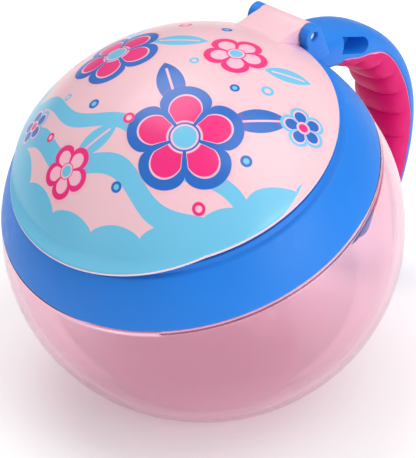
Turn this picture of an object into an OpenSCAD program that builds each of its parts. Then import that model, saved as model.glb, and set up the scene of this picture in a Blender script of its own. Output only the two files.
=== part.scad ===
// Snack container for a small child: a ball-shaped see-through bowl, a tilted
// screw collar with a carrying handle moulded on, a soft petal insert in the
// hand opening, and a domed flip lid on a steel pin. All sizes in millimetres.
// The frame stands on the flat base of the bowl: +Z up, front toward -Y,
// hinge and handle toward +Y, symmetric about the plane x = 0.

/* [Bowl] */
// Outer radius of the ball-shaped bowl
bowl_r = 54; // [53.6:0.1:54.4]
// Height of the middle of the ball above the table
ball_h = 44.9; // [44:0.1:45.5]
// Wall thickness of the bowl
bowl_wall = 2.2; // [1.8:0.1:2.4]
// Thickness of the floor of the bowl
floor_t = 2.6; // [2.2:0.1:3]
// Radius of the round corner between base and side
base_fillet = 10; // [8:0.5:11]

/* [Mouth and thread] */
// Forward tilt of the mouth and collar, in degrees
mouth_tilt = 19.15; // [18:0.05:20]
// Outer radius of the threaded neck of the bowl
neck_r = 43.8; // [43.5:0.1:43.9]
// Number of thread lugs round the neck
lugs = 4; // [3:1:4]
// Angle that one lug covers, in degrees
lug_angle = 38; // [30:1:40]
// Rise of the thread in one full turn
thread_lead = 18; // [16:1:20]

/* [Collar] */
// Radius of the hand opening
mouth_r = 36.4; // [36.2:0.1:36.6]
// Outer radius of the collar, measured from the middle of the ball
collar_r = 54.15; // [54.1:0.05:54.6]
// Height of the crest round the lid seat, above the middle of the ball
crest_z = 30.4; // [30.2:0.1:30.6]

/* [Lid] */
// Radius of the round edge of the lid
lid_r = 43.2; // [42.8:0.1:43.3]
// Radius of the ball surface that the dome follows
dome_r = 56.5; // [56:0.1:57]
// Wall thickness of the dome
lid_wall = 1.8; // [1.4:0.1:2]
// How far the finger lip reaches from the lid axis
lip_reach = 46.3; // [45.6:0.1:46.4]

/* [Hinge] */
// Distance of the hinge pin behind the lid axis
hinge_y = 46; // [45.9:0.1:46.2]
// Height of the hinge pin above the middle of the ball, along the lid axis
hinge_z = 35.4; // [35.2:0.1:35.6]
// Radius of the hinge barrel
barrel_r = 3.2; // [3:0.1:3.3]
// Half width of the hinge over both ears
hinge_w = 10.5; // [10:0.1:11]
// Radius of the steel pin
pin_r = 1.2; // [1:0.05:1.3]

/* [Handle] */
// Half width of the handle, side to side
handle_w = 8.3; // [8:0.1:8.6]
// Half thickness of the handle, inside to outside
handle_h = 6; // [5.6:0.1:6.2]
// How square the handle's section is (2 is an oval)
handle_e = 2.6; // [2.2:0.1:3]
// Wall of the soft grip round the core
grip_t = 2.8; // [2.2:0.1:3.2]

/* [Petals] */
// Number of petals in the insert
petals = 6; // [6:1:6]
// Width of the slit between two petals
slit = 0.8; // [0.6:0.1:1.2]
// Thickness of one petal
petal_t = 0.9; // [0.7:0.1:1]

/* [Hidden] */
$fn = 96;
big = 300;
// lower half of the ball: an arc of slightly smaller radius, tangent at the middle
low_c = 3.6;
low_r = bowl_r - low_c;
// where the bowl stops and the collar begins, along the lid axis
shoulder_z = 17.4;
skirt_z = 17.75;
rim_z = 27.5;
// thread
bore_r = neck_r + 1.5;
lug_pitch = atan(thread_lead / (2 * PI * (neck_r + 0.6)));
lug_z = 24.3;
// collar
deck_z = 29.1;
seat_z = 32;
crest_r = sqrt(collar_r * collar_r - crest_z * crest_z);
// lid
dome_c = -2.2;
edge_z = dome_c + sqrt(dome_r * dome_r - lid_r * lid_r);
lid_bot = 32.6;
liner_top = 33.8;
// the lip is a circle of its own, set forward, that runs into the lid edge
lip_a = 38;
lip_x = lid_r * cos(lip_a);
lip_y = -lid_r * sin(lip_a);
lip_c = (lip_x * lip_x + lip_y * lip_y - lip_reach * lip_reach) / (2 * (lip_y + lip_reach));
lip_r = lip_reach + lip_c;
knuckle_w = 7.45;
ear_in = 7.75;
// handle: three arcs in the plane x = 0, measured from the middle of the ball
hp0 = [46.8, 37.1];
hd0 = -10.6;
hr1 = 40.3; ha1 = 30.8;
hr2 = 34;   ha2 = 48.6;
hr3 = 46.8; ha3 = 40;
function arc_mid(p, d, r) = [p[0] + r * sin(d), p[1] - r * cos(d)];
function arc_end(p, d, r, a) = let (c = arc_mid(p, d, r)) [c[0] - r * sin(d - a), c[1] + r * cos(d - a)];
hp1 = arc_end(hp0, hd0, hr1, ha1); hd1 = hd0 - ha1;
hp2 = arc_end(hp1, hd1, hr2, ha2); hd2 = hd1 - ha2;
hp3 = arc_end(hp2, hd2, hr3, ha3); hd3 = hd2 - ha3;
grip_n = 1.2;
// degrees of arc left bare before and after the grip
grip_start = 3;
grip_end = 6;
// insert
hinge_a = 30.3;

// the ball's own frame, and the tilted frame of mouth, collar and lid
module ball() translate([0, 0, ball_h]) children();
module mouth() ball() rotate([mouth_tilt, 0, 0]) children();
// an upright slab along X, drawn in the plane x = 0
module side_slab(w) rotate([90, 0, 90]) translate([0, 0, -w]) linear_extrude(2 * w) children();

// half section of the ball, moved in by t, floor raised by f
module ball_section(t, f) {
    r = low_r - t;
    zb = f - ball_h;
    rf = base_fillet - t;
    zf = zb + rf;
    k = r - rf;
    xf = low_c + sqrt(k * k - zf * zf);
    difference() {
        intersection() {
            union() {
                translate([low_c, 0]) circle(r);
                translate([0, -r]) square([low_c, r]);
            }
            translate([0, zb]) square([100, -zb]);
        }
        difference() {
            polygon([[xf, zf], [xf, zb - 5], [xf + 40, zb - 5],
                     [xf + 60 * (xf - low_c) / k, zf + 60 * zf / k]]);
            translate([xf, zf]) circle(rf);
        }
    }
    intersection() {
        circle(bowl_r - t);
        square([100, 100]);
    }
}

// one thread lug: a ring sector, leaned over by the pitch about its own middle
module lug(a, z, r0, r1, h) translate([0, 0, z]) rotate([0, 0, a]) rotate([lug_pitch, 0, 0])
    rotate([0, 0, -lug_angle / 2]) rotate_extrude(angle = lug_angle) translate([r0, -h / 2]) square([r1 - r0, h]);

module bowl() color([0.85, 0.6, 0.68, 0.5]) difference() {
    union() {
        difference() {
            ball() rotate_extrude() ball_section(0, 0);
            mouth() translate([0, 0, shoulder_z]) cylinder(r = 100, h = 100);
        }
        mouth() translate([0, 0, 8]) cylinder(r = neck_r, h = rim_z - 8);
        mouth() for (i = [0:lugs - 1]) lug(i * 360 / lugs + 45, lug_z, neck_r - 0.8, neck_r + 1.2, 1.8);
    }
    difference() {
        ball() rotate_extrude() ball_section(bowl_wall, floor_t);
        mouth() translate([0, 0, shoulder_z - bowl_wall]) cylinder(r = 100, h = 100);
    }
    mouth() translate([0, 0, 5]) cylinder(r = neck_r - bowl_wall, h = 40);
}

// half section of the collar: deck, threaded skirt and outer skirt
module collar_section() {
    difference() {
        intersection() {
            circle(collar_r);
            translate([bore_r, skirt_z]) square([20, crest_z - skirt_z]);
        }
        intersection() {
            circle(collar_r - 2);
            translate([bore_r + 1.5, 10]) square([20, 12.6]);
        }
        translate([bore_r - 1, 10]) square([2.5, 8.6]);
    }
    polygon([[mouth_r, deck_z], [bore_r + 0.2, deck_z], [crest_r, crest_z], [crest_r - 1.8, seat_z],
             [mouth_r + 0.5, seat_z], [mouth_r, seat_z - 0.5]]);
    // bead that keeps the insert in the collar
    polygon([[bore_r + 0.1, 26.2], [bore_r - 0.9, 26.8], [bore_r - 0.9, 27.1], [bore_r + 0.1, 27.4]]);
}

// point of the handle's section at angle a: a rounded outline between an oval and a box, as [outward, sideways]
function sec(a) = let (c = cos(a), s = sin(a))
    [handle_h * sign(c) * pow(abs(c), 2 / handle_e), handle_w * sign(s) * pow(abs(s), 2 / handle_e)];
// middle, radius and heading of the handle's path, t degrees along it
function path_at(t) = t < ha1 ? [arc_mid(hp0, hd0, hr1), hr1, hd0 - t]
    : t < ha1 + ha2 ? [arc_mid(hp1, hd1, hr2), hr2, hd0 - t]
    : [arc_mid(hp2, hd2, hr3), hr3, hd0 - t];
// a section set across the path, moved on by d and shrunk by k
function ring_at(t, pts, d = 0, k = 1) = let (q = path_at(t), h = q[2])
    [for (p = pts) [p[1] * (k + 1) / 2, q[0][0] - (q[1] + k * p[0]) * sin(h) + d * cos(h),
                    q[0][1] + (q[1] + k * p[0]) * cos(h) + d * sin(h)]];
// solid through a list of sections with the same number of points; a hollow-backed section brings its own end faces
module loft(rings, ends = []) {
    n = len(rings[0]);
    m = len(rings);
    caps = len(ends) > 0 ? ends : [[for (i = [0:n - 1]) i]];
    polyhedron(points = [for (r = rings) for (p = r) p],
        faces = concat(caps,
            [for (j = [0:m - 2]) for (i = [0:n - 1]) let (k = (i + 1) % n) [j * n + i, (j + 1) * n + i, (j + 1) * n + k, j * n + k]],
            [for (c = caps) [for (i = [len(c) - 1:-1:0]) (m - 1) * n + c[i]]]));
}
path_len = ha1 + ha2 + ha3;
grip_t0 = grip_start;
grip_t1 = path_len - grip_end;
function steps(a, b, n) = [for (i = [0:n]) a + (b - a) * i / n];
// height of the line between core and grip: low beside the hinge, then rising to grip_n
function line_n(t) = t < 8 ? grip_n - 3.8 : t < 28 ? grip_n - 3.8 * (28 - t) / 20 : grip_n;
function line_a(n) = acos(sign(n) * pow(abs(n) / handle_h, handle_e / 2));
// under the grip the core keeps the outline's outer part and is a flat bar inside
bar_w = handle_w - grip_t;
bar_n = grip_t - handle_h;
function outer_pts(n) = let (b = line_a(n)) [for (i = [0:9]) sec(-b + 2 * b * i / 9)];
function inner_pts(n) = let (b = line_a(n)) [for (i = [1:8]) sec(b + (360 - 2 * b) * i / 9)];
function bar_pts(n) = concat([[n, bar_w]], [for (i = [0:5]) [bar_n, bar_w * (1 - i / 2.5)]], [[n, -bar_w]]);
function whole(t) = let (n = line_n(t)) concat(outer_pts(n), inner_pts(n));
function core(t) = let (n = line_n(t)) concat(outer_pts(n), bar_pts(n));
function grip(t) = let (n = line_n(t), b = line_a(n), q = bar_pts(n))
    concat([sec(b)], inner_pts(n), [sec(-b)], [for (i = [7:-1:0]) q[i]]);
grip_ends = concat([[0, 1, 17]], [for (k = [1:7]) [k, k + 1, 17 - k, 18 - k]], [[8, 9, 10]]);
module handle() ball() difference() {
    loft(concat([for (t = steps(-12, grip_t0 - 0.7, 3)) ring_at(t, whole(t))],
        [for (t = steps(grip_t0, grip_t1, 20)) ring_at(t, core(t))],
        [for (t = steps(grip_t1 + 1, path_len, 1)) ring_at(t, whole(t))],
        [for (a = [25, 50, 72]) ring_at(path_len, whole(path_len), handle_h * sin(a), cos(a))]));
    // blind recess in each side
    for (s = [-1, 1]) translate([s * (handle_w + 1), 52.4, 36.9]) rotate([-20, 0, 0]) rotate([0, 90, 0])
        translate([0, 0, -8.1]) linear_extrude(16.2) {
            translate([-2.3, -5.6]) square([4.6, 9.3]);
            translate([0, 3.4]) circle(2.3);
        }
}

module collar() color([0.15, 0.47, 0.9]) difference() {
    union() {
        mouth() rotate_extrude() collar_section();
        mouth() for (i = [0:lugs - 1]) lug(i * 360 / lugs + 45, lug_z - 2, neck_r + 0.3, bore_r + 0.4, 1.8);
        difference() {
            union() {
                handle();
                // two ears that hold the pin
                mouth() for (s = [-1, 1]) {
                    translate([s * (ear_in + hinge_w) / 2, hinge_y, hinge_z]) rotate([0, 90, 0])
                        cylinder(r = barrel_r, h = hinge_w - ear_in, center = true);
                    translate([s * (ear_in + hinge_w) / 2 - (hinge_w - ear_in) / 2, hinge_y - barrel_r, 24])
                        cube([hinge_w - ear_in, 2 * barrel_r, hinge_z - 24]);
                }
            }
            mouth() translate([0, 0, -60]) cylinder(r = bore_r + 0.9, h = 60 + deck_z + 1);
            ball() difference() {
                sphere(r = bowl_r + 0.35);
                rotate([mouth_tilt, 0, 0]) translate([0, 0, skirt_z]) cylinder(r = 100, h = 100);
            }
        }
    }
    // room for the lid barrel between the ears
    mouth() translate([0, hinge_y, hinge_z]) rotate([0, 90, 0]) cylinder(r = barrel_r + 0.6, h = 2 * ear_in, center = true);
    // pin bore through both ears
    mouth() translate([0, hinge_y, hinge_z]) rotate([0, 90, 0]) cylinder(r = pin_r, h = 60, center = true);
    // thumb scoop under the lip
    mouth() translate([0, -54.8, 37.2]) sphere(r = 11.5);
}

module handle_grip() color([0.9, 0.1, 0.42]) ball()
    loft([for (t = steps(grip_t0, grip_t1, 20)) ring_at(t, grip(t))], grip_ends);

module hinge_pin() color([0.78, 0.78, 0.8]) mouth() translate([0, hinge_y, hinge_z]) rotate([0, 90, 0])
    cylinder(r = pin_r, h = 2 * hinge_w - 1.6, center = true);

module lid_dome() color([0.96, 0.82, 0.86]) mouth() difference() {
    union() {
        // dome with its short upright edge
        rotate_extrude() difference() {
            intersection() {
                translate([0, dome_c]) circle(dome_r);
                translate([0, lid_bot]) square([lid_r, 30]);
            }
            translate([0, dome_c]) circle(dome_r - lid_wall);
            translate([0, lid_bot - 1]) square([lid_r - 1.6, 2.2]);
        }
        // finger lip
        intersection() {
            translate([0, lip_c, 30]) cylinder(r = lip_r, h = 6);
            rotate_extrude() polygon([[lid_r - 1, edge_z], [lid_r, edge_z], [lip_reach + 1, edge_z - 1.5],
                                      [lip_reach + 1, edge_z - 2.9], [lid_r - 1, lid_bot]]);
        }
        // block that carries the dome out to the barrel
        intersection() {
            side_slab(knuckle_w) polygon([[36.5, 33.9], [36.5, 40.4], [hinge_y, hinge_z + barrel_r], [hinge_y, hinge_z - 1.4],
                                          [lid_r, lid_bot], [lid_r - 2, lid_bot], [40.8, 33.9]]);
            difference() {
                translate([0, 0, 20]) cylinder(r = 60, h = 40);
                translate([0, 0, dome_c]) sphere(r = dome_r - 0.6);
            }
        }
        translate([0, hinge_y, hinge_z]) rotate([0, 90, 0]) cylinder(r = barrel_r, h = 2 * knuckle_w, center = true);
    }
    translate([0, hinge_y, hinge_z]) rotate([0, 90, 0]) cylinder(r = pin_r + 0.06, h = 60, center = true);
}

module lid_liner() color([0.95, 0.86, 0.9]) mouth() {
    difference() {
        union() {
            translate([0, 0, lid_bot]) cylinder(r = lid_r - 2.1, h = liner_top - lid_bot);
            translate([0, 0, 30.2]) cylinder(r = mouth_r - 0.5, h = lid_bot - 30.2 + 0.2);
        }
        translate([0, 0, 29]) cylinder(r = mouth_r - 2.2, h = lid_bot - 29);
    }
}

module insert_ring() color([0.93, 0.35, 0.55]) mouth() difference() {
    union() {
        translate([0, 0, 27.7]) cylinder(r = bore_r - 0.4, h = 1.1);
        translate([0, 0, 24.5]) cylinder(r = neck_r - bowl_wall - 0.3, h = 3.3);
    }
    translate([0, 0, 24]) cylinder(r = neck_r - bowl_wall - 1.4, h = 3.7);
    rotate([0, 0, 180 / petals]) translate([0, 0, 27])
        cylinder(r = (hinge_a + petal_t / 2 + 0.25) / cos(180 / petals), h = 3, $fn = petals);
}

// petal number i: a flat blade with a round bead along the straight line where it bends
module petal(i) {
    t = tan(180 / petals);
    g = slit / 2 / cos(180 / petals);
    a0 = 4.5;
    a1 = hinge_a;
    color([0.93, 0.35, 0.55]) mouth() rotate([0, 0, 360 / petals * (i - 1) - 90 + 180 / petals]) {
        translate([0, 0, 28.8 - petal_t]) linear_extrude(petal_t)
            polygon([[a0, g - a0 * t], [a1, g - a1 * t], [a1, a1 * t - g], [a0, a0 * t - g]]);
        translate([a1, 0, 28.8 - petal_t / 2]) rotate([90, 0, 0])
            cylinder(r = petal_t / 2, h = 2 * (a1 * t - g), center = true);
    }
}
module petal_1() petal(1);
module petal_2() petal(2);
module petal_3() petal(3);
module petal_4() petal(4);
module petal_5() petal(5);
module petal_6() petal(6);

bowl();
collar();
handle_grip();
hinge_pin();
lid_dome();
lid_liner();
insert_ring();
petal_1();
petal_2();
petal_3();
petal_4();
petal_5();
petal_6();
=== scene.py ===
import bpy
import bmesh
import math
from math import sin, cos, pi, sqrt, atan2, asin, acos, radians, hypot
from mathutils import Vector, Matrix


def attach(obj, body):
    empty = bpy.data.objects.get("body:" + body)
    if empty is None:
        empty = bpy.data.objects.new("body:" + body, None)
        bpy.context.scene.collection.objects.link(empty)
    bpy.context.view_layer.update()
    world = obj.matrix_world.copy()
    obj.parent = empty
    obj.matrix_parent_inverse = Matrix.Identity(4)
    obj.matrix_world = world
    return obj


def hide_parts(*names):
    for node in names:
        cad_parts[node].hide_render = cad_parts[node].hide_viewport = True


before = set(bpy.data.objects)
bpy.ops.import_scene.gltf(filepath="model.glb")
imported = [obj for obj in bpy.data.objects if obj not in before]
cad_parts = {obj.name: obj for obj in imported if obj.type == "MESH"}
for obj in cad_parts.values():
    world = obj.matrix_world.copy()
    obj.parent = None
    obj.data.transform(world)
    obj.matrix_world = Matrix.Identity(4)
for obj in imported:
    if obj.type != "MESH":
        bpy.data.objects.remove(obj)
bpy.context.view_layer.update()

# ------------------------------------------------------------------ dimensions, in mm, the same as in the CAD source
BALL_H = 44.9
R_BALL, LOW_C = 54.0, 3.6
R_LOW = R_BALL - LOW_C
WALL, FLOOR_T, BASE_F = 2.2, 2.6, 10.0
TILT = radians(19.15)
CT, ST = cos(TILT), sin(TILT)
SHOULDER_Z, SKIRT_Z, RIM_Z = 17.4, 17.75, 27.5
NECK_R, BORE_R, MOUTH_R = 43.8, 45.3, 36.4
COLLAR_R, CREST_Z, SEAT_Z, DECK_Z = 54.15, 30.4, 32.0, 29.1
CREST_R = sqrt(COLLAR_R ** 2 - CREST_Z ** 2)
LID_R, DOME_R, DOME_C, LID_WALL = 43.2, 56.5, -2.2, 1.8
LIP_REACH, LID_BOT, LINER_TOP = 46.3, 32.6, 33.8
EDGE_Z = DOME_C + sqrt(DOME_R ** 2 - LID_R ** 2)
HINGE_Y, HINGE_Z, BARREL_R = 46.0, 35.4, 3.2
HINGE_W, EAR_IN, KNUCKLE_W, PIN_R = 10.5, 7.75, 7.58, 1.2
HINGE_A, PETALS, SLIT, PETAL_T = 30.3, 6, 0.8, 0.9
H_W, H_H, H_E = 8.28, 5.92, 2.6


def tilt(x, y, z):
    """Point of the tilted frame of mouth, collar and lid (mm) in the model's frame (m)."""
    return Vector((x, y * CT - z * ST, y * ST + z * CT + BALL_H)) * 0.001


def up(x, y, z):
    """Point measured from the middle of the ball (mm) in the model's frame (m)."""
    return Vector((x, y, z + BALL_H)) * 0.001


# ------------------------------------------------------------------ mesh helpers
def new_object(name, verts, faces, mats=(), face_mats=None, sharp=35):
    me = bpy.data.meshes.new(name)
    me.from_pydata([tuple(v) for v in verts], [], faces)
    me.validate()
    for m in mats:
        me.materials.append(m)
    if face_mats:
        for p, i in zip(me.polygons, face_mats):
            p.material_index = i
    ob = bpy.data.objects.new(name, me)
    bpy.context.scene.collection.objects.link(ob)
    bm = bmesh.new()
    bm.from_mesh(me)
    bmesh.ops.recalc_face_normals(bm, faces=bm.faces)
    bm.to_mesh(me)
    bm.free()
    for p in me.polygons:
        p.use_smooth = True
    me.set_sharp_from_angle(angle=radians(sharp))
    return ob


def grid(rings, close=True, cap0=False, cap1=False, loop=False):
    """Vertices and faces of a list of equally long rings of points."""
    n = len(rings[0])
    verts = [p for r in rings for p in r]
    faces = []
    last = len(rings) if loop else len(rings) - 1
    for j in range(last):
        a, b = j * n, ((j + 1) % len(rings)) * n
        for i in range(n if close else n - 1):
            k = (i + 1) % n
            faces.append((a + i, a + k, b + k, b + i))
    if cap0:
        faces.append(tuple(range(n)))
    if cap1:
        faces.append(tuple((len(rings) - 1) * n + i for i in reversed(range(n))))
    return verts, faces


def revolve(profile, n, place, a0=0.0, loop=True):
    """Closed half section [(r, z)] turned about the local Z."""
    rings = []
    for i in range(n):
        a = a0 + 2 * pi * i / n
        rings.append([place(r * cos(a), r * sin(a), z) for r, z in profile])
    return grid(rings, close=loop, loop=True)


def arc_pts(cx, cy, r, a, b, n):
    return [(cx + r * cos(radians(a + (b - a) * i / n)), cy + r * sin(radians(a + (b - a) * i / n))) for i in range(n + 1)]


def rounded(pts, n=5):
    """Closed polygon with a rounded corner at each point that is given as (x, y, radius)."""
    out = []
    m = len(pts)
    for i, p in enumerate(pts):
        r = p[2] if len(p) > 2 else 0
        if r <= 0:
            out.append((p[0], p[1]))
            continue
        q, s = pts[i - 1], pts[(i + 1) % m]
        u = Vector((q[0] - p[0], q[1] - p[1]))
        v = Vector((s[0] - p[0], s[1] - p[1]))
        lu, lv = u.length, v.length
        u.normalize()
        v.normalize()
        half = acos(max(-1, min(1, u.dot(v)))) / 2
        if half > pi / 2 - 0.02:
            out.append((p[0], p[1]))
            continue
        d = min(r / math.tan(half), lu * 0.49, lv * 0.49)
        rr = d * math.tan(half)
        c = Vector((p[0], p[1])) + (u + v).normalized() * (rr / sin(half))
        a = atan2(p[1] + u.y * d - c.y, p[0] + u.x * d - c.x)
        b = atan2(p[1] + v.y * d - c.y, p[0] + v.x * d - c.x)
        while b - a > pi:
            b -= 2 * pi
        while b - a < -pi:
            b += 2 * pi
        for k in range(n + 1):
            t = a + (b - a) * k / n
            out.append((c.x + rr * cos(t), c.y + rr * sin(t)))
    return out


def join(objs, name):
    """One object from several."""
    base = objs[0]
    bpy.ops.object.select_all(action="DESELECT")
    for o in objs:
        o.select_set(True)
    bpy.context.view_layer.objects.active = base
    bpy.ops.object.join()
    base.name = name
    base.data.name = name
    return base


def apply_mods(ob):
    dg = bpy.context.evaluated_depsgraph_get()
    me = bpy.data.meshes.new_from_object(ob.evaluated_get(dg))
    old = ob.data
    ob.modifiers.clear()
    ob.data = me
    bpy.data.meshes.remove(old)
    me.name = ob.name
    return ob


def boolean(ob, cutter, op="DIFFERENCE", solver="EXACT"):
    m = ob.modifiers.new("cut", "BOOLEAN")
    m.operation = op
    m.solver = solver
    m.object = cutter
    apply_mods(ob)
    bpy.data.objects.remove(cutter)
    return ob


def smooth_shade(ob, angle=35):
    for p in ob.data.polygons:
        p.use_smooth = True
    ob.data.set_sharp_from_angle(angle=radians(angle))


# ------------------------------------------------------------------ node helpers
class Nodes:
    """Short names for building a material's nodes."""

    def __init__(self, mat):
        mat.use_nodes = True
        self.t = mat.node_tree
        self.t.nodes.clear()
        self.out = self.t.nodes.new("ShaderNodeOutputMaterial")
        self._x = -200

    def add(self, kind, **props):
        n = self.t.nodes.new(kind)
        self._x -= 20
        n.location = (self._x, 0)
        for k, v in props.items():
            setattr(n, k, v)
        return n

    def put(self, sock, v):
        if hasattr(v, "is_output") or isinstance(v, bpy.types.NodeSocket):
            self.t.links.new(v, sock)
        elif v is not None:
            sock.default_value = v

    def math(self, op, a, b=None, c=None, clamp=False):
        n = self.add("ShaderNodeMath", operation=op, use_clamp=clamp)
        for s, v in zip(n.inputs, (a, b, c)):
            self.put(s, v)
        return n.outputs[0]

    def mix(self, f, a, b):
        n = self.add("ShaderNodeMix", data_type="RGBA")
        self.put(n.inputs[0], f)
        self.put(n.inputs[6], a)
        self.put(n.inputs[7], b)
        return n.outputs[2]

    def lerp(self, f, a, b):
        n = self.add("ShaderNodeMix", data_type="FLOAT")
        self.put(n.inputs[0], f)
        self.put(n.inputs[2], a)
        self.put(n.inputs[3], b)
        return n.outputs[0]

    def coords(self):
        return self.add("ShaderNodeTexCoord").outputs["Object"]

    def noise(self, scale, detail=2.0, rough=0.5, vec=None, out="Fac"):
        n = self.add("ShaderNodeTexNoise")
        self.put(n.inputs["Vector"], vec if vec is not None else self.coords())
        n.inputs["Scale"].default_value = scale
        n.inputs["Detail"].default_value = detail
        n.inputs["Roughness"].default_value = rough
        return n.outputs[out]

    def span(self, v, lo, hi, a=0.0, b=1.0, smooth=False):
        n = self.add("ShaderNodeMapRange", interpolation_type="SMOOTHSTEP" if smooth else "LINEAR", clamp=True)
        for s, x in zip(n.inputs, (v, lo, hi, a, b)):
            self.put(s, x)
        return n.outputs[0]

    def bump(self, height, dist, strength=1.0, normal=None):
        n = self.add("ShaderNodeBump")
        n.inputs["Strength"].default_value = strength
        n.inputs["Distance"].default_value = dist
        self.put(n.inputs["Height"], height)
        if normal is not None:
            self.put(n.inputs["Normal"], normal)
        return n.outputs[0]

    def shader(self, color, rough=0.4, normal=None, **sockets):
        n = self.add("ShaderNodeBsdfPrincipled")
        self.put(n.inputs["Base Color"], color)
        self.put(n.inputs["Roughness"], rough)
        if normal is not None:
            self.put(n.inputs["Normal"], normal)
        for k, v in sockets.items():
            n.inputs[k.replace("_", " ")].default_value = v
        self.t.links.new(n.outputs[0], self.out.inputs["Surface"])
        return n


def lin(r, g, b):
    """Linear colour from 8-bit display values."""
    f = lambda c: c / 255 / 12.92 if c <= 10.31 else ((c / 255 + 0.055) / 1.055) ** 2.4
    return (f(r), f(g), f(b), 1.0)


def plastic(name, color, rough=0.3, vary=0.04, peel=0.00002, peel_scale=260, grain=0.0, grain_scale=2600, **sockets):
    """Moulded plastic: slight colour drift, uneven gloss, soft surface waviness and a fine grain."""
    mat = bpy.data.materials.new(name)
    n = Nodes(mat)
    big = n.noise(38, 3)
    base = n.mix(n.span(big, 0.3, 0.7), tuple(c * (1 - vary) for c in color[:3]) + (1,), tuple(min(1, c * (1 + vary)) for c in color[:3]) + (1,))
    mark = n.noise(420, 4, 0.6)
    ro = n.span(mark, 0.3, 0.75, rough * 0.85, rough * 1.2)
    nm = n.bump(n.noise(peel_scale, 2), peel, 0.6)
    if grain:
        nm = n.bump(n.noise(grain_scale, 2), grain, 0.6, nm)
    n.shader(base, ro, nm, **sockets)
    return mat


# ------------------------------------------------------------------ materials
C_PINK, C_PINK2 = lin(234, 188, 197), lin(236, 191, 200)
C_BLUE = lin(24, 121, 217)
C_GRIP = lin(212, 0, 106)
C_SKY, C_DEEP, C_HOT, C_PALE = lin(104, 188, 222), lin(0, 96, 186), lin(232, 14, 118), lin(242, 182, 200)


def blossom(n, u, v, cu, cv, size, petals, rot, deep=0.32):
    """Distance inside the outline of a blossom, its polar coordinates, all in mm."""
    du, dv = n.math("SUBTRACT", u, cu), n.math("SUBTRACT", v, cv)
    r = n.math("SQRT", n.math("ADD", n.math("MULTIPLY", du, du), n.math("MULTIPLY", dv, dv)))
    a = n.math("ADD", n.math("ARCTAN2", dv, du), rot)
    w = n.math("ABSOLUTE", n.math("COSINE", n.math("MULTIPLY", a, petals / 2)))
    w = n.math("POWER", w, 0.55)
    edge = n.math("MULTIPLY_ADD", w, size * deep, size * (1 - deep))
    return n.math("SUBTRACT", edge, r), r, a, w


def print_mask(n, d, soft=0.09):
    return n.span(d, -soft, soft)


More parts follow.
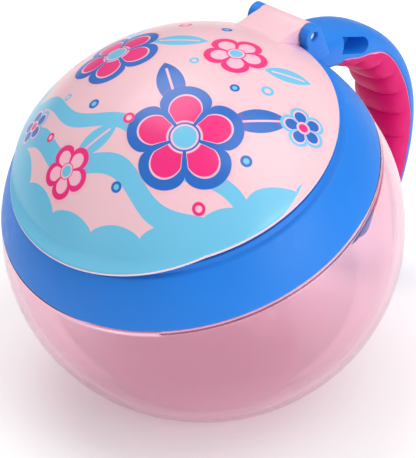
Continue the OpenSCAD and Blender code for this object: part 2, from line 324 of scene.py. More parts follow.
def lid_material():
    mat = bpy.data.materials.new("lid_print")
    n = Nodes(mat)
    sep = n.add("ShaderNodeSeparateXYZ")
    n.put(sep.inputs[0], n.coords())
    x = n.math("MULTIPLY", sep.outputs[0], 1000)
    yw = n.math("MULTIPLY", sep.outputs[1], 1000)
    zw = n.math("MULTIPLY_ADD", sep.outputs[2], 1000, -BALL_H)
    y = n.math("ADD", n.math("MULTIPLY", yw, CT), n.math("MULTIPLY", zw, ST))
    z = n.math("SUBTRACT", n.math("MULTIPLY", zw, CT), n.math("MULTIPLY", yw, ST))
    r = n.math("SQRT", n.math("ADD", n.math("MULTIPLY", x, x), n.math("MULTIPLY", y, y)))
    ang = n.math("ARCTAN2", r, n.math("SUBTRACT", z, DOME_C))
    k = n.math("DIVIDE", n.math("MULTIPLY", ang, DOME_R), n.math("MAXIMUM", r, 0.001))
    u, v = n.math("MULTIPLY", x, k), n.math("MULTIPLY", y, k)
    rho = n.math("MULTIPLY", ang, DOME_R)

    big = n.noise(30, 3)
    ground = n.mix(n.span(big, 0.3, 0.7), C_PINK, C_PINK2)
    col = ground
    printed = 0.0
    # scalloped light-blue border along the front and the sides
    th = n.math("ARCTAN2", v, u)
    sc = n.math("ABSOLUTE", n.math("SINE", n.math("MULTIPLY", th, 9)))
    inner = n.math("MULTIPLY_ADD", n.math("POWER", sc, 0.6), -3.2, 43.0)
    drop = n.math("MULTIPLY", n.math("MAXIMUM", n.math("SUBTRACT", r, LID_R), 0.0), 0.37)
    lip_top = n.math("ADD", n.math("SUBTRACT", z, EDGE_Z - 0.45), drop)
    ring = n.math("MINIMUM", n.math("SUBTRACT", rho, inner), n.math("MULTIPLY", lip_top, 3.0))
    ring = n.math("SUBTRACT", ring, n.span(v, -12.0, 14.0, 0.0, 10.0, smooth=True))
    ring = n.math("SUBTRACT", ring, n.span(v, 10.0, 18.0, 0.0, 40.0))
    m = print_mask(n, ring)
    col = n.mix(m, col, C_SKY)
    printed = m
    # wavy light-blue bands
    for off, amp, width, ph in ((-27.0, 2.6, 3.0, 0.4), (-15.5, 2.2, 2.2, 1.3)):
        wav = n.math("SINE", n.math("MULTIPLY_ADD", u, 0.19, ph))
        mid = n.math("MULTIPLY_ADD", wav, amp, off)
        d = n.math("SUBTRACT", width, n.math("ABSOLUTE", n.math("SUBTRACT", v, mid)))
        d = n.math("MINIMUM", d, n.math("MULTIPLY", lip_top, 3.0))
        m = print_mask(n, d)
        col = n.mix(m, col, C_SKY)
        printed = n.math("MAXIMUM", printed, m)
    # leaves
    for lu, lv, length, width, rot in LEAVES:
        c, s = cos(rot), sin(rot)
        du, dv = n.math("SUBTRACT", u, lu), n.math("SUBTRACT", v, lv)
        p = n.math("ADD", n.math("MULTIPLY", du, c), n.math("MULTIPLY", dv, s))
        q = n.math("SUBTRACT", n.math("MULTIPLY", dv, c), n.math("MULTIPLY", du, s))
        rr = (length ** 2 + width ** 2) / (2 * width)
        off = rr - width
        pp = n.math("MULTIPLY", p, p)
        qa = n.math("ADD", n.math("ABSOLUTE", q), off)
        d = n.math("SUBTRACT", rr, n.math("SQRT", n.math("ADD", pp, n.math("MULTIPLY", qa, qa))))
        m = print_mask(n, d)
        vein = n.math("MULTIPLY", print_mask(n, n.math("SUBTRACT", 0.32, n.math("ABSOLUTE", q))), print_mask(n, n.math("SUBTRACT", length * 0.7, n.math("ABSOLUTE", p))))
        col = n.mix(m, col, n.mix(vein, C_SKY if width < 3.4 else C_DEEP, C_PALE))
        printed = n.math("MAXIMUM", printed, m)
    # blossoms: deep blue, with hot-pink panels in a pale outline and a light-blue eye
    for cu, cv, size, petals, rot, kind in BLOSSOMS:
        d, r0, a0, w0 = blossom(n, u, v, cu, cv, size, petals, rot)
        # painted shade: a soft hot-pink fringe just outside each blossom stands in for the shade the print casts into
        # the pink shell
        print_shade_fringe = n.span(d, -1.6, 0.0)
        col = n.mix(n.math("MULTIPLY", print_shade_fringe, 0.12), col, C_HOT)
        m = print_mask(n, d)
        one, two = (C_DEEP, C_HOT) if kind == 0 else ((C_HOT, C_PALE) if kind == 1 else (C_SKY, C_DEEP))
        inner_edge = n.math("MULTIPLY_ADD", w0, size * 0.52, size * 0.27)
        panel = n.math("MINIMUM", n.math("SUBTRACT", inner_edge, r0), n.math("SUBTRACT", r0, size * 0.30))
        panel = n.math("MINIMUM", panel, n.math("MULTIPLY", n.math("SUBTRACT", w0, 0.52), size * 0.7))
        body = n.mix(print_mask(n, n.math("ADD", panel, 0.55)), one, C_PALE if kind != 1 else C_HOT)
        body = n.mix(print_mask(n, panel), body, two)
        eye = n.math("SUBTRACT", size * 0.2, r0)
        body = n.mix(print_mask(n, n.math("ADD", eye, 0.5)), body, C_PALE)
        body = n.mix(print_mask(n, eye), body, C_SKY if kind != 2 else C_HOT)
        col = n.mix(m, col, body)
        printed = n.math("MAXIMUM", printed, m)
    # dots and rings
    for cu, cv, rad, kind in DOTS:
        du, dv = n.math("SUBTRACT", u, cu), n.math("SUBTRACT", v, cv)
        r0 = n.math("SQRT", n.math("ADD", n.math("MULTIPLY", du, du), n.math("MULTIPLY", dv, dv)))
        m = print_mask(n, n.math("SUBTRACT", rad, r0))
        c1 = (C_DEEP, C_HOT, C_SKY)[kind]
        c2 = (C_SKY, C_PALE, C_PINK)[kind]
        body = n.mix(print_mask(n, n.math("SUBTRACT", rad * 0.5, r0)), c1, c2)
        col = n.mix(m, col, body)
        printed = n.math("MAXIMUM", printed, m)
    # painted show-through: a lavender tint beside the hinge block stands in for the blue ears seen faintly through the
    # thin edge of the lid
    ex = n.math("SUBTRACT", n.math("ABSOLUTE", x), 9.6)
    ey = n.math("SUBTRACT", y, 40.4)
    ed = n.math("SQRT", n.math("ADD", n.math("MULTIPLY", ex, ex), n.math("MULTIPLY", ey, ey)))
    col = n.mix(n.math("MULTIPLY", n.span(ed, 3.2, 1.6, smooth=True), 0.4), col, lin(196, 160, 220))
    # painted highlight: the rim is mixed a shade lighter, a light line along the lid's edge, except where the print
    # runs over the lip
    col = n.mix(n.math("MULTIPLY", n.math("MULTIPLY", n.span(rho, 48.3, 48.9), 0.5), n.math("SUBTRACT", 1.0, print_mask(n, n.math("MULTIPLY", lip_top, 3.0)))), col, lin(252, 226, 232))
    mark = n.noise(110, 2, 0.5)
    rough = n.math("ADD", n.span(mark, 0.3, 0.75, 0.31, 0.33), n.math("MULTIPLY", printed, -0.03))
    height = n.math("MULTIPLY_ADD", printed, 0.5, n.math("MULTIPLY", n.noise(160, 2), 0.6))
    nm = n.bump(height, 0.00001, 0.5)
    n.shader(col, rough, nm, Subsurface_Weight=0.04, Subsurface_Radius=(0.004, 0.0015, 0.0018), Subsurface_Scale=0.6, Coat_Weight=0.15, Coat_Roughness=0.12)
    return mat


BLOSSOMS = [(17.0, -9.0, 15.5, 5, 0.3, 0), (-21.0, 6.0, 13.0, 5, 1.1, 0), (8.0, 22.0, 8.6, 5, 0.9, 1),
            (-8.0, -31.0, 7.6, 5, 0.2, 1), (36.5, 16.0, 6.4, 5, 0.0, 2), (-33.0, -21.0, 6.2, 5, 0.6, 2)]
LEAVES = [(28.0, 7.5, 8.5, 3.6, 0.9), (3.5, 2.0, 8.5, 3.6, 2.5), (-8.0, 17.5, 8.0, 3.0, 0.5), (-30.0, 21.5, 7.0, 3.0, 2.2),
          (-4.0, -21.0, 7.0, 3.0, 1.1), (22.0, 27.0, 6.5, 2.8, 0.7)]
DOTS = [(-4.0, 31.5, 1.5, 0), (23.0, 17.0, 1.7, 2), (-16.0, 27.5, 1.9, 1), (1.0, -12.0, 1.6, 1), (-12.0, -12.0, 1.5, 0),
        (33.0, -4.0, 1.6, 0), (9.0, -29.0, 1.5, 0), (-20.5, -24.0, 1.4, 1), (-38.0, 4.0, 1.7, 1), (31.0, -22.0, 1.8, 1),
        (17.0, 11.0, 1.3, 0), (-24.0, -11.5, 1.2, 2), (2.5, 12.0, 1.3, 2)]


def grip_material():
    mat = bpy.data.materials.new("grip_soft")
    n = Nodes(mat)
    big = n.noise(45, 3)
    base = n.mix(n.span(big, 0.3, 0.7), tuple(c * 0.95 for c in C_GRIP[:3]) + (1,), C_GRIP)
    fine = n.noise(1500, 3, 0.6)
    nm = n.bump(fine, 0.00004, 0.5)
    seam = n.add("ShaderNodeSeparateXYZ")
    n.put(seam.inputs[0], n.coords())
    line = n.span(n.math("ABSOLUTE", seam.outputs[0]), 0.00012, 0.00026, 1.0, 0.0)
    nm = n.bump(line, 0.00006, 0.7, nm)
    n.shader(base, n.span(n.noise(500, 3), 0.3, 0.7, 0.42, 0.55), nm, Subsurface_Weight=0.15, Subsurface_Radius=(0.003, 0.0006, 0.001), Subsurface_Scale=0.5, Specular_IOR_Level=0.2)
    return mat


def bowl_material():
    """Tinted clear plastic; its shadow is tinted too, so that light reaches the inside."""
    mat = bpy.data.materials.new("bowl_clear")
    n = Nodes(mat)
    big = n.noise(24, 3)
    base = n.mix(n.span(big, 0.3, 0.7), BOWL_TINT, tuple(min(1, c * 1.015) for c in BOWL_TINT[:3]) + (1,))
    wave = n.bump(n.noise(30, 1), 0.00002, 0.2)
    rough = n.span(n.noise(160, 3), 0.3, 0.7, 0.0, 0.015)
    body = n.shader(base, rough, wave, Transmission_Weight=1.0, IOR=1.49)
    clear = n.add("ShaderNodeBsdfTransparent")
    clear.inputs[0].default_value = BOWL_SHADE
    path = n.add("ShaderNodeLightPath")
    mix = n.add("ShaderNodeMixShader")
    n.t.links.new(path.outputs["Is Shadow Ray"], mix.inputs[0])
    n.t.links.new(body.outputs[0], mix.inputs[1])
    n.t.links.new(clear.outputs[0], mix.inputs[2])
    mix2 = n.add("ShaderNodeMixShader")
    n.t.links.new(path.outputs["Is Diffuse Ray"], mix2.inputs[0])
    n.t.links.new(mix.outputs[0], mix2.inputs[1])
    n.t.links.new(clear.outputs[0], mix2.inputs[2])
    n.t.links.new(mix2.outputs[0], n.out.inputs["Surface"])
    depth = n.add("ShaderNodeVolumeAbsorption")
    depth.inputs["Color"].default_value = (0.78, 0.13, 0.40, 1.0)
    depth.inputs["Density"].default_value = 85.0
    n.t.links.new(depth.outputs[0], n.out.inputs["Volume"])
    return mat


def steel_material():
    mat = bpy.data.materials.new("pin_steel")
    n = Nodes(mat)
    st = n.add("ShaderNodeMapping")
    n.put(st.inputs["Vector"], n.coords())
    st.inputs["Scale"].default_value = (1, 14, 14)
    lines = n.noise(700, 3, 0.6, vec=st.outputs[0])
    n.shader(n.mix(lines, (0.55, 0.55, 0.56, 1), (0.78, 0.78, 0.8, 1)), n.span(lines, 0.3, 0.7, 0.18, 0.34), n.bump(lines, 0.00001, 0.5), Metallic=1.0)
    return mat


def insert_material():
    mat = bpy.data.materials.new("insert_soft")
    n = Nodes(mat)
    big = n.noise(50, 3)
    c = lin(236, 96, 140)
    base = n.mix(n.span(big, 0.3, 0.7), tuple(k * 0.95 for k in c[:3]) + (1,), c)
    nm = n.bump(n.noise(1800, 3, 0.6), 0.00003, 0.5)
    n.shader(base, n.span(n.noise(400, 3), 0.3, 0.7, 0.45, 0.6), nm, Subsurface_Weight=0.25, Subsurface_Radius=(0.004, 0.001, 0.0015), Subsurface_Scale=0.6, Sheen_Weight=0.1, Sheen_Roughness=0.5)
    return mat


BOWL_TINT = (0.972, 0.851, 0.893, 1.0)
BOWL_SHADE = (0.95, 0.985, 0.975, 1.0)
m_bowl = bowl_material()
m_blue = plastic("collar_blue", C_BLUE, rough=0.44, vary=0.03, peel=0.00003, peel_scale=200, grain=0.000006, grain_scale=3200, Specular_IOR_Level=0.30, Subsurface_Weight=0.05, Subsurface_Radius=(0.001, 0.001, 0.003), Subsurface_Scale=0.3)
m_grip = grip_material()
# painted highlight: a pale pink for the light line along the grip's border
m_grip_highlight = plastic("grip_edge_highlight", lin(226, 150, 196), rough=0.4, vary=0.03)
m_lid = lid_material()
m_liner = plastic("liner_pink", lin(244, 196, 208), rough=0.42, vary=0.03, grain=0.00001, grain_scale=2200, Subsurface_Weight=0.12, Subsurface_Radius=(0.004, 0.0015, 0.0018), Subsurface_Scale=0.5)
m_pin = steel_material()
m_soft = insert_material()


# ------------------------------------------------------------------ bowl
def make_bowl():
    N = 320

    def low(t, f, start):
        """From the middle of the floor out and up to the middle of the ball."""
        r, zb, rf = R_LOW - t, f - BALL_H, BASE_F - t
        zf = zb + rf
        k = r - rf
        xf = LOW_C + sqrt(k * k - zf * zf)
        ae = math.degrees(atan2(zf, xf - LOW_C))
        pts = [(x, zb) for x in (1.5, 6, 11, 16, xf - 2.5)]
        if t:
            pts = [(x, zb + 0.35) for x in (1.5, 6, 11, 14.5)] + [(14.5 + 6.5 * k / 8, zb + 0.175 + 0.175 * cos(pi * k / 8)) for k in range(1, 9)]
        pts += arc_pts(xf, zf, rf, -90, ae, 12)
        pts += arc_pts(LOW_C, 0, r, ae, -start, 34)[1:]
        return pts

    def cut_angle(phi, z, R):
        A, B = CT, -ST * sin(phi)
        return asin(z / R / sqrt(A * A + B * B)) - atan2(B, A)

    start = 7.0
    phis = [2 * pi * i / N for i in range(N)]
    rings = []
    for x, z in low(0, 0, start):
        rings.append([up(x * cos(p), x * sin(p), z) for p in phis])

    def sphere_rows(R, t, z_cut, rows):
        out = []
        for j in range(1, rows + 1):
            row = []
            for p in phis:
                te = cut_angle(p, z_cut, R)
                th = radians(-start) + (te + radians(start)) * j / rows
                if th < 0:
                    x, z = LOW_C + (R_LOW - t) * cos(th), (R_LOW - t) * sin(th)
                else:
                    x, z = (R_BALL - t) * cos(th), (R_BALL - t) * sin(th)
                row.append((x * cos(p), x * sin(p), z))
            out.append(row)
        return out

    outer = sphere_rows(R_BALL, 0, SHOULDER_Z - 0.6, 40)
    rings += [[up(*q) for q in row] for row in outer]
    psi = [atan2(q[1] * CT + q[2] * ST, q[0]) for q in outer[-1]]
    top = SHOULDER_Z
    neck = [(51.26, top - 0.34), (51.14, top - 0.16), (50.96, top - 0.04), (50.7, top), (45.2, top), (44.4, top + 0.12), (43.95, top + 0.5), (NECK_R, top + 1.1),
            (NECK_R, RIM_Z - 0.7), (NECK_R - 0.15, RIM_Z - 0.25), (NECK_R - 0.55, RIM_Z)]
    ri = NECK_R - WALL
    neck += [(ri + 0.55, RIM_Z), (ri + 0.15, RIM_Z - 0.25), (ri, RIM_Z - 0.7), (ri, top - 0.9), (ri + 0.2, top - WALL + 0.5), (ri + 0.7, top - WALL + 0.1), (ri + 1.5, top - WALL)]
    for r, z in neck:
        rings.append([tilt(r * cos(a), r * sin(a), z) for a in psi])
    inner = sphere_rows(R_BALL - WALL, WALL, SHOULDER_Z - WALL - 0.6, 34)
    psi_in = [atan2(q[1] * CT + q[2] * ST, q[0]) for q in inner[-1]]
    rings.append([tilt(48.9 * cos(a), 48.9 * sin(a), top - WALL) for a in psi_in])
    rings.append([tilt(49.45 * cos(a), 49.45 * sin(a), top - WALL - 0.12) for a in psi_in])
    rings += [[up(*q) for q in row] for row in reversed(inner)]
    for x, z in reversed(low(WALL, FLOOR_T, start)):
        rings.append([up(x * cos(p), x * sin(p), z) for p in phis])
    v, f = grid(rings, cap0=True, cap1=True)
    ob = new_object("bowl_shell", v, f, [m_bowl], sharp=50)
    # thread lugs that climb with the pitch and taper at both ends
    parts = [ob]
    for i in range(4):
        rows = []
        for j in range(25):
            a = radians(i * 90 + 45 + 38 * (j / 24 - 0.5))
            k = min(1, min(j, 24 - j) / 4 + 0.12)
            zc = 24.3 + (18 * 38 / 360) * (j / 24 - 0.5)
            sec = rounded([(NECK_R - 0.4, zc - 0.9, 0), (NECK_R + 1.15 * k, zc - 0.9 * (0.55 + 0.45 * k), 0.3), (NECK_R + 1.15 * k, zc + 0.9 * (0.55 + 0.45 * k), 0.3), (NECK_R - 0.4, zc + 0.9, 0)], 3)
            rows.append([tilt(r * cos(a), r * sin(a), z) for r, z in sec])
        lv, lf = grid(rows, cap0=True, cap1=True)
        parts.append(new_object("lug", lv, lf, [m_bowl]))
    return join(parts, "bowl_shell")


# ------------------------------------------------------------------ collar ring
def make_collar_ring():
    R = COLLAR_R
    outer = [(sqrt(R * R - z * z), z) for z in [SKIRT_Z + 0.8 + (CREST_Z - 1.6 - SKIRT_Z - 0.8) * i / 26 for i in range(27)]]
    inner = [(sqrt((R - 2) ** 2 - z * z), z) for z in [22.4 - (22.4 - SKIRT_Z + 0.23) * i / 6 for i in range(7)]]
    low = SKIRT_Z - 0.23
    prof = [(sqrt(R * R - low ** 2), low, 0.4)] + outer
    prof += [(CREST_R, CREST_Z, 0.9), (43.5, 30.72, 0.3), (43.0, 31.95, 0.3), (MOUTH_R, SEAT_Z, 0.7), (MOUTH_R, DECK_Z, 0.5), (BORE_R, DECK_Z, 0.4), (BORE_R, 27.4), (BORE_R - 0.9, 27.05, 0.2),
             (BORE_R - 0.9, 26.8, 0.2), (BORE_R, 26.1), (BORE_R, 18.6, 0.3), (BORE_R + 1.5, 18.6, 0.3), (BORE_R + 1.5, 22.6, 0.1)] + inner
    prof = rounded(prof, 6)
    v, f = revolve(prof, 400, tilt)
    ob = new_object("collar_ring", v, f, [m_blue], sharp=50)
    # thumb scoop under the lip
    bpy.ops.mesh.primitive_uv_sphere_add(segments=96, ring_count=64, radius=0.0115, location=tilt(0, -54.8, 37.2))
    cutter = bpy.context.active_object
    boolean(ob, cutter)
    parts = [ob]
    for i in range(4):
        rows = []
        for j in range(25):
            a = radians(i * 90 + 45 + 38 * (j / 24 - 0.5))
            k = min(1, min(j, 24 - j) / 4 + 0.12)
            zc = 22.3 + (18 * 38 / 360) * (j / 24 - 0.5)
            sec = rounded([(BORE_R + 0.3, zc - 0.9, 0), (BORE_R - 1.15 * k, zc - 0.9 * (0.55 + 0.45 * k), 0.3), (BORE_R - 1.15 * k, zc + 0.9 * (0.55 + 0.45 * k), 0.3), (BORE_R + 0.3, zc + 0.9, 0)], 3)
            rows.append([tilt(r * cos(a), r * sin(a), z) for r, z in sec])
        lv, lf = grid(rows, cap0=True, cap1=True)
        parts.append(new_object("lug", lv, lf, [m_blue]))
    return join(parts, "collar_ring")


# ------------------------------------------------------------------ handle
ARCS = ((40.3, 30.8), (34.0, 48.6), (46.8, 40.0))
HP0, HD0 = (46.8, 37.1), -10.6
PATH_LEN = sum(a for _, a in ARCS)


def path_at(t):
    """Middle, radius and heading of the handle's path, t degrees along it."""
    p, d = HP0, HD0
    for i, (r, a) in enumerate(ARCS):
        c = (p[0] + r * sin(radians(d)), p[1] - r * cos(radians(d)))
        if t <= a or i == 2:
            return c, r, radians(d - t)
        h = radians(d - a)
        p = (c[0] - r * sin(h), c[1] + r * cos(h))
        d -= a
        t -= a


def run_at(t):
    """Length along the path's middle, in mm."""
    s = 0.0
    for r, a in ARCS:
        k = min(t, a)
        s += r * radians(k)
        t -= k
        if t <= 0:
            break
    return s


def on_handle(t, n, x, d=0.0):
    c, r, h = path_at(t)
    return up(x, c[0] - (r + n) * sin(h) + d * cos(h), c[1] + (r + n) * cos(h) + d * sin(h))


def sec_pt(al, off=0.0):
    """Point of the handle's section at angle al, moved out by off: (outward, sideways)."""
    c, s = cos(al), sin(al)
    e = 2 / H_E
    n = H_H * math.copysign(abs(c) ** e, c)
    x = H_W * math.copysign(abs(s) ** e, s)
    if off:
        gn = math.copysign(abs(n / H_H) ** (H_E - 1) / H_H, n)
        gx = math.copysign(abs(x / H_W) ** (H_E - 1) / H_W, x)
        g = hypot(gn, gx) or 1
        n += off * gn / g
        x += off * gx / g
    return n, x


BORDER = [(47.7, 34.4), (54.2, 32.4), (59.4, 32.2), (63, 31.2), (65.2, 30.2), (69.9, 25.5), (74, 19.0), (77.2, 11.2), (78.7, 4.1), (78.3, -4.1), (76.3, -13.9)]


def border_table():
    out = []
    for y, z in BORDER:
        best = None
        for i in range(0, 1201):
            t = i * 0.1
            c, r, h = path_at(t)
            py, pz = c[0] - r * sin(h), c[1] + r * cos(h)
            n = -(y - py) * sin(h) + (z - pz) * cos(h)
            d = hypot(y - py, z - pz)
            if best is None or d < best[0]:
                best = (d, t, n)
        out.append((best[1], best[2]))
    return sorted(out)


TABLE_B = border_table()


def border_n(t):
    tb = TABLE_B
    if t <= tb[0][0]:
        return tb[0][1]
    for (t0, n0), (t1, n1) in zip(tb, tb[1:]):
        if t <= t1:
            k = (t - t0) / max(t1 - t0, 1e-6)
            k = k * k * (3 - 2 * k)
            return n0 + (n1 - n0) * k
    return tb[-1][1]


def smooth_table(n=241):
    raw = [border_n(PATH_LEN * i / (n - 1)) for i in range(n)]
    for _ in range(60):
        raw = [raw[0]] + [(raw[i - 1] + 2 * raw[i] + raw[i + 1]) / 4 for i in range(1, n - 1)] + [raw[-1]]
    return raw


SMOOTH_B = smooth_table()


def border_angle(t):
    f = max(0, min(PATH_LEN, t)) / PATH_LEN * 240
    i = min(239, int(f))
    n = SMOOTH_B[i] + (SMOOTH_B[i + 1] - SMOOTH_B[i]) * (f - i)
    q = math.copysign(abs(n / H_H) ** (H_E / 2), n)
    return acos(max(-1, min(1, q)))


GRIP_T0, GRIP_T1 = 2.5, PATH_LEN - 6.0


def make_handle():
    """Core of the handle: full section with a shallow seat for the grip, rounded end."""
    ts = [-14 + (GRIP_T0 + 14) * i / 16 for i in range(16)]
    a, b = GRIP_T0, GRIP_T1
    ts += [a, a + 0.02] + [a + (b - a) * i / 110 for i in range(1, 110)] + [b - 0.02, b]
    ts += [b + (PATH_LEN - b) * i / 5 for i in range(1, 6)]
    rows = []
    for t in ts:
        depth = 1.0 if a + 0.01 < t < b - 0.01 else 0.0
        ab = border_angle(t)
        row = [on_handle(t, *sec_pt(-ab + 2 * ab * i / 40)) for i in range(41)]
        lo, hi = ab, 2 * pi - ab
        row += [on_handle(t, *sec_pt(lo + (hi - lo) * (0.004 + 0.992 * i / 36), -depth)) for i in range(37)]
        rows.append(row)
    ab = border_angle(PATH_LEN)
    angs = [-ab + 2 * ab * i / 40 for i in range(41)] + [ab + (2 * pi - 2 * ab) * (0.004 + 0.992 * i / 36) for i in range(37)]
    for k in range(1, 15):
        f = pi / 2 * k / 14.6
        row = []
        for al in angs:
            n, x = sec_pt(al)
            row.append(on_handle(PATH_LEN, n * cos(f), x * (0.28 + 0.72 * cos(f)) * (1 if k < 14 else 0.9), H_H * sin(f)))
        rows.append(row)
    v, f = grid(rows, cap0=True, cap1=True)
    ob = new_object("handle_core", v, f, [m_blue], sharp=40)
    # blind recess in each side: square at the hinge end, round at the other
    for s in (-1, 1):
        pts = [(-5.6, -2.3), (3.7, -2.3)] + arc_pts(3.4, 0, 2.3, -82, 82, 16) + [(3.7, 2.3), (-5.6, 2.3)]
        ca, sa = cos(radians(-20)), sin(radians(-20))
        rows = []
        for x in (s * 1.2, s * 12.0):
            rows.append([up(x, 52.4 + p * ca - q * sa, 36.9 + p * sa + q * ca) for p, q in pts])
        v, f = grid(rows, cap0=True, cap1=True)
        cutter = new_object("cutter", v, f)
        boolean(ob, cutter)
    bv = ob.modifiers.new("soft", "BEVEL")
    bv.width = 0.00022
    bv.segments = 2
    bv.limit_method = "ANGLE"
    bv.angle_limit = radians(50)
    bv.harden_normals = False
    apply_mods(ob)
    smooth_shade(ob, 45)
    return ob


RIDGE = 8.55


def make_grip():
    """Soft grip: lobes for the fingers across the inside, fading out to a clean border on the sides."""
    T, M = 420, 72

    def across(i):
        e = min(i, M - i)
        f = 0.007 * e if e < 3 else 0.014 + (0.5 - 0.014) * (e - 2) / (M / 2 - 2)
        return f if i <= M / 2 else 1 - f

    rows = []
    for j in range(T + 1):
        t = GRIP_T0 + (GRIP_T1 - GRIP_T0) * j / T
        ab = border_angle(t)
        lo, hi = ab + 0.012, 2 * pi - ab - 0.012
        s = run_at(t)
        ph = (s - 12.0) / RIDGE
        lobe = abs(sin(pi * ph)) ** 0.62
        endk = min(1, (t - GRIP_T0) / 5.0, (GRIP_T1 - t) / 5.0)
        endk = max(0.0, endk)
        row, back = [], []
        for i in range(M + 1):
            al = lo + (hi - lo) * across(i)
            edge = min(al - lo, hi - al)
            side = min(1, max(0, (edge - 0.10) / 0.75))
            side = side * side * (3 - 2 * side)
            off = 0.10 + (1.15 * lobe - 0.62) * side * endk
            off -= 0.35 * max(0, 1 - edge / 0.05) ** 2
            off -= 0.35 * max(0, 1 - min(t - GRIP_T0, GRIP_T1 - t) / 0.5) ** 2
            row.append(on_handle(t, *sec_pt(al, off)))
        for i in range(M + 1):
            al = hi - (hi - lo) * across(i)
            back.append(on_handle(t, *sec_pt(al, -1.3)))
        rows.append(row + back)
    v, f = grid(rows, cap0=True, cap1=True)
    cols = 2 * (M + 1)
    # the two outermost columns on each side take the pale material, a painted highlight along the grip's border
    highlight_cols = (0, 1, M - 2, M - 1)
    which = [1 if k < T * cols and k % cols in highlight_cols else 0 for k in range(len(f))]
    return new_object("grip_pad", v, f, [m_grip, m_grip_highlight], which, sharp=60)


# ------------------------------------------------------------------ hinge
def plate(outline, x0, x1, name, mats, bevel=0.00035, holes=()):
    """Plate between x0 and x1 with an outline in the tilted frame's (y, z)."""
    rows = [[tilt(x, y, z) for y, z in outline] for x in (x0, x1)]
    v, f = grid(rows, cap0=True, cap1=True)
    ob = new_object(name, v, f, mats)
    for y, z, r in holes:
        bpy.ops.mesh.primitive_cylinder_add(vertices=64, radius=r * 0.001, depth=0.08, location=tilt(0, y, z), rotation=(0, pi / 2, 0))
        boolean(ob, bpy.context.active_object)
    bv = ob.modifiers.new("soft", "BEVEL")
    bv.width = bevel
    bv.segments = 3
    bv.limit_method = "ANGLE"
    bv.angle_limit = radians(40)
    apply_mods(ob)
    smooth_shade(ob, 35)
    return ob


def make_ears():
    out = []
    for s in (-1, 1):
        pts = arc_pts(HINGE_Y, HINGE_Z, BARREL_R - 0.01, 20, 180, 40)
        pts += [(HINGE_Y - BARREL_R, 33.9), (42.0, 33.0), (41.6, 31.0), (41.6, 28.0), (49.9, 26.0), (49.6, 30.5)]
        xs = (EAR_IN * s, HINGE_W * s)
        out.append(plate(pts, min(xs), max(xs), "ear", [m_blue], 0.0004, [(HINGE_Y, HINGE_Z, PIN_R + 0.05)]))
    return out


def make_pin():
    prof = [(0.0001, -9.75), (0.7, -9.75), (1.0, -9.68), (PIN_R, -9.4), (PIN_R, 9.4), (1.0, 9.68), (0.7, 9.75), (0.0001, 9.75)]
    rows = []
    for i in range(48):
        a = 2 * pi * i / 48
        rows.append([tilt(x, HINGE_Y + r * cos(a), HINGE_Z + r * sin(a)) for r, x in prof])
    v, f = grid(rows, close=False, loop=True)
    ob = new_object("pin_wire", v, f, [m_pin])
    bm = bmesh.new()
    bm.from_mesh(ob.data)
    bmesh.ops.remove_doubles(bm, verts=bm.verts, dist=0.000001)
    bm.to_mesh(ob.data)
    bm.free()
    return ob


# ------------------------------------------------------------------ lid
LIP_A = radians(38)
_lx, _ly = LID_R * cos(LIP_A), -LID_R * sin(LIP_A)
LIP_C = (_lx ** 2 + _ly ** 2 - LIP_REACH ** 2) / (2 * (_ly + LIP_REACH))
LIP_R = LIP_REACH + LIP_C


def lip_out(phi):
    """How far the lip stands out from the lid's edge at azimuth phi."""
    s = sin(phi)
    disc = LIP_R ** 2 - LIP_C ** 2 * (1 - s * s)
    rr = LIP_C * s + sqrt(max(0, disc))
    return max(0.0, rr - LID_R) if s < 0 else 0.0


def make_dome():
    N = 512
    R, c = DOME_R - 0.005, DOME_C
    ae = math.degrees(asin((LID_R - 0.35) / R))
    outer = [(R * sin(radians(ae * i / 60)), c + R * cos(radians(ae * i / 60))) for i in range(1, 61)]
    rows = []
    inner_r = R - LID_WALL
    ai = math.degrees(asin((LID_R - 1.6) / inner_r))
    inner = [(inner_r * sin(radians(ai * i / 30)), c + inner_r * cos(radians(ai * i / 30))) for i in range(1, 31)]
    for i in range(N):
        phi = 2 * pi * i / N
        d = lip_out(phi)
        ez = EDGE_Z
        # rim: from the dome down the edge, drawn out where the lip is
        drop = 0.37 * d
        rim = [(LID_R + d * 0.35, ez - 0.22 - drop * 0.35), (LID_R + d * 0.75, ez - 0.30 - drop * 0.75),
               (LID_R + d - 0.05, ez - 0.42 - drop), (LID_R + d, ez - 0.75 - drop), (LID_R + d - 0.06, ez - 1.15 - drop * 0.9),
               (LID_R + d * 0.75 - 0.18, ez - 1.38 - drop * 0.7), (LID_R + d * 0.3 - 0.35, max(LID_BOT + 0.06, ez - 1.5 - drop * 0.2)), (LID_R - 0.7, LID_BOT), (LID_R - 1.35, LID_BOT), (LID_R - 1.6, LID_BOT + 0.2)]
        prof = outer + rim + [(r, z) for r, z in reversed(inner)]
        rows.append([tilt(r * cos(phi), r * sin(phi), z) for r, z in prof])
    v, f = grid(rows, close=False, loop=True)
    # close the two poles
    n = len(rows[0])
    f.append(tuple(i * n for i in range(N)))
    f.append(tuple(i * n + n - 1 for i in reversed(range(N))))
    ob = new_object("lid_shell", v, f, [m_lid], sharp=55)
    # hinge block and barrel
    top = [(34.4, 41.15), (36.2, 40.80), (37.6, 40.38), (39.5, 39.92), (42.5, 39.30)]
    pts = top + arc_pts(HINGE_Y, HINGE_Z, BARREL_R - 0.01, 101, -150, 44) + [(42.9, 33.2), (42.2, 32.9), (40.9, 34.6), (34.4, 39.6)]
    block = plate(pts, -KNUCKLE_W, KNUCKLE_W, "block", [m_lid], 0.0004, [(HINGE_Y, HINGE_Z, PIN_R + 0.05)])
    return join([ob, block], "lid_shell")


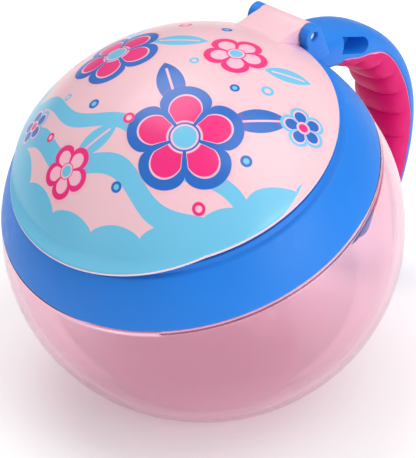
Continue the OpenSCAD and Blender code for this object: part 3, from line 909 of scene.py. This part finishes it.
def make_liner():
    """Inner shell of the lid: flat floor under the dome and the plug ring that closes the hand opening."""
    ro, ri, rd = MOUTH_R - 0.5, MOUTH_R - 2.2, LID_R - 2.1
    half = [(0.02, LID_BOT - 0.0), (8, LID_BOT), (20, LID_BOT)]
    half += rounded([(26, LID_BOT), (ri, LID_BOT, 0.9), (ri + 0.1, 30.2, 0.75), (ro - 0.1, 30.2, 0.75), (ro, LID_BOT, 0.5), (rd, LID_BOT, 0.25), (rd, LINER_TOP, 0.25), (26, LINER_TOP)], 6)
    half += [(14, LINER_TOP), (0.02, LINER_TOP)]
    rows = []
    for i in range(288):
        a = 2 * pi * i / 288
        rows.append([tilt(r * cos(a), r * sin(a), z) for r, z in half])
    v, f = grid(rows, close=False, loop=True)
    n = len(rows[0])
    f.append(tuple(i * n for i in range(288)))
    f.append(tuple(i * n + n - 1 for i in reversed(range(288))))
    return new_object("liner_shell", v, f, [m_liner], sharp=50)


# ------------------------------------------------------------------ insert
def hex_r(phi, apothem):
    """Distance to the edge of the six-sided opening at azimuth phi, with softened corners."""
    step = 2 * pi / PETALS
    base = -pi / 2 + step / 2
    q = (phi - base + step / 2) % step - step / 2
    return min(apothem / cos(q), apothem / cos(step / 2) - 0.35)


def make_insert_ring():
    ri = NECK_R - WALL
    N = 360
    rows = []
    for i in range(N):
        phi = 2 * pi * i / N
        hx = hex_r(phi, HINGE_A + 0.42)
        prof = rounded([(BORE_R - 0.5, 27.74, 0.3), (BORE_R - 0.5, 28.8, 0.45), (hx, 28.8, 0.42), (hx, 27.86, 0.42), (ri - 1.5, 27.72, 0.6),
                        (ri - 1.5, 24.5, 0.5), (ri - 0.35, 24.5, 0.5), (ri - 0.35, 27.74, 0.1)], 5)
        rows.append([tilt(r * cos(phi), r * sin(phi), z) for r, z in prof])
    v, f = grid(rows, loop=True)
    return new_object("soft_ring", v, f, [m_soft], sharp=50)


def make_petal(i):
    """One soft flap: rounded corners, thin crowned blade, round bead where it bends."""
    t = math.tan(pi / PETALS)
    g = SLIT / 2 / cos(pi / PETALS)
    ang = 2 * pi / PETALS * (i - 1) - pi / 2 + pi / PETALS
    ca, sa = cos(ang), sin(ang)
    a0, a1 = 4.6, HINGE_A
    def place(a, b, z):
        return tilt(a * ca - b * sa, a * sa + b * ca, z)
    NA, NB = 30, 22
    zt, zb = 28.8, 28.8 - PETAL_T
    def half_w(a):
        w = a * t - g
        # round off the tip's and the root's corners
        w -= 1.1 * max(0.0, 1 - (a - a0) / 1.5) ** 2
        w -= 0.5 * max(0.0, 1 - (a1 - a) / 1.0) ** 2
        return max(w, 0.5)
    rings = []
    # rings across the blade, each a flattened loop
    for j in range(NA + 1):
        f = j / NA
        a = a0 + (a1 - a0) * f
        tip = min(1.0, 0.25 + 0.75 * min(1, (a - a0) / 0.45))
        w = half_w(a)
        loop = []
        for k in range(NB + 1):
            b = -1 + 2 * k / NB
            edge = (1 - abs(b) ** 10) ** 0.5
            crown = 0.0
            zc = (zt + zb) / 2
            loop.append((a, b * w, zc + (PETAL_T / 2) * (0.25 + 0.75 * edge) * tip))
        for k in range(NB + 1):
            b = 1 - 2 * k / NB
            edge = (1 - abs(b) ** 10) ** 0.5
            zc = (zt + zb) / 2
            loop.append((a, b * w, zc - (PETAL_T / 2) * (0.25 + 0.75 * edge) * tip))
        rings.append([place(*q) for q in loop])
    v, f = grid(rings, cap0=True, cap1=True)
    blade = new_object("blade", v, f, [m_soft], sharp=60)
    # bead along the bend
    w = half_w(a1)
    rows = []
    for k in range(15):
        b = -w + 2 * w * k / 14
        rr = PETAL_T / 2 * (0.5 if k in (0, 14) else 1.0)
        rows.append([place(a1 + rr * cos(q), b, 28.35 + rr * sin(q)) for q in [2 * pi * m / 20 for m in range(20)]])
    v, f = grid(rows, cap0=True, cap1=True)
    bead = new_object("bead", v, f, [m_soft], sharp=60)
    return join([blade, bead], "soft_petal_%d" % i)


# ------------------------------------------------------------------ the pieces on their bodies
bowl = make_bowl()
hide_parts("bowl")
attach(bowl, "bowl")

ring = make_collar_ring()
handle = make_handle()
ears = make_ears()
collar = join([ring, handle] + ears, "collar_shell")
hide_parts("collar")
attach(collar, "collar")

grip = make_grip()
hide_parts("handle_grip")
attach(grip, "collar")

pin = make_pin()
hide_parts("hinge_pin")
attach(pin, "collar")

dome = make_dome()
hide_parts("lid_dome")
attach(dome, "lid")

liner = make_liner()
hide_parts("lid_liner")
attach(liner, "lid")

soft = make_insert_ring()
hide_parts("insert_ring")
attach(soft, "insert")
for k in range(1, PETALS + 1):
    p = make_petal(k)
    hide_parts("petal_%d" % k)
    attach(p, "petal_%d" % k)

# ------------------------------------------------------------------ floor, light, camera
floor_mat = bpy.data.materials.new("floor_white")
fn = Nodes(floor_mat)
fn.shader((0.94, 0.94, 0.94, 1), fn.span(fn.noise(12, 2), 0.3, 0.7, 0.55, 0.62), Emission_Color=(1, 1, 1, 1), Emission_Strength=0.13)
bpy.ops.mesh.primitive_plane_add(size=6, location=(0, 0, -0.00005))
floor = bpy.context.active_object
floor.name = "floor"
floor.data.materials.append(floor_mat)


def area(name, loc, target, size, power, color=(1, 1, 1), size_y=None):
    d = bpy.data.lights.new(name, "AREA")
    d.energy = power
    d.color = color
    d.size = size
    if size_y:
        d.shape = "RECTANGLE"
        d.size_y = size_y
    o = bpy.data.objects.new(name, d)
    bpy.context.scene.collection.objects.link(o)
    o.location = loc
    o.rotation_euler = (Vector(target) - Vector(loc)).to_track_quat("-Z", "Y").to_euler()
    return o


area("key", (-0.34, 0.06, 0.86), (0, 0, 0.05), 0.5, 2.2, (1.0, 0.99, 0.98))
area("top", (0.42, 0.18, 0.86), (0, 0, 0.05), 0.6, 2.2)
# two upright softboxes either side of the camera, with a gap between them
area("side_left", (-0.35, -0.85, 0.3), (0, 0, 0.05), 0.35, 0.3, (1, 1, 1), 0.5)
area("side_right", (0.92, 0.05, 0.34), (0, 0, 0.06), 0.5, 3.5, (1, 1, 1), 0.6)
world = bpy.data.worlds.new("studio")
bpy.context.scene.world = world
world.use_nodes = True
# bright overhead, darker toward the horizon, as in a studio with dark walls
wt = world.node_tree
bg = wt.nodes["Background"]
wc = wt.nodes.new("ShaderNodeTexCoord")
wx = wt.nodes.new("ShaderNodeSeparateXYZ")
wm = wt.nodes.new("ShaderNodeMapRange")
wm.interpolation_type = "SMOOTHSTEP"
wt.links.new(wc.outputs["Generated"], wx.inputs[0])
wt.links.new(wx.outputs[2], wm.inputs[0])
for i, v in enumerate((0.02, 0.55, 0.20, 0.71)):
    wm.inputs[i + 1].default_value = v
bg.inputs[0].default_value = (1, 1, 1, 1)
wt.links.new(wm.outputs[0], bg.inputs[1])

sc = bpy.context.scene
sc.view_settings.view_transform = "Standard"
sc.view_settings.look = "None"
sc.view_settings.exposure = 0.0

AZ, EL = radians(42.42), radians(32.66)
view_v = Vector((sin(AZ) * cos(EL), -cos(AZ) * cos(EL), sin(EL)))
right_v = Vector((cos(AZ), sin(AZ), 0))
up_v = view_v.cross(right_v)
eye = Vector((0, 0, BALL_H)) + view_v * 648 + right_v * 1.2 - up_v * 0.74
cam_data = bpy.data.cameras.new("camera")
cam_data.sensor_fit = "AUTO"
cam_data.sensor_width = 36
cam_data.lens = 2417.9 / 458 * 36
cam_data.clip_start, cam_data.clip_end = 0.01, 20
cam = bpy.data.objects.new("camera", cam_data)
bpy.context.scene.collection.objects.link(cam)
cam.matrix_world = Matrix.Translation(eye * 0.001) @ Matrix((right_v, up_v, view_v)).transposed().to_4x4()
sc.camera = cam
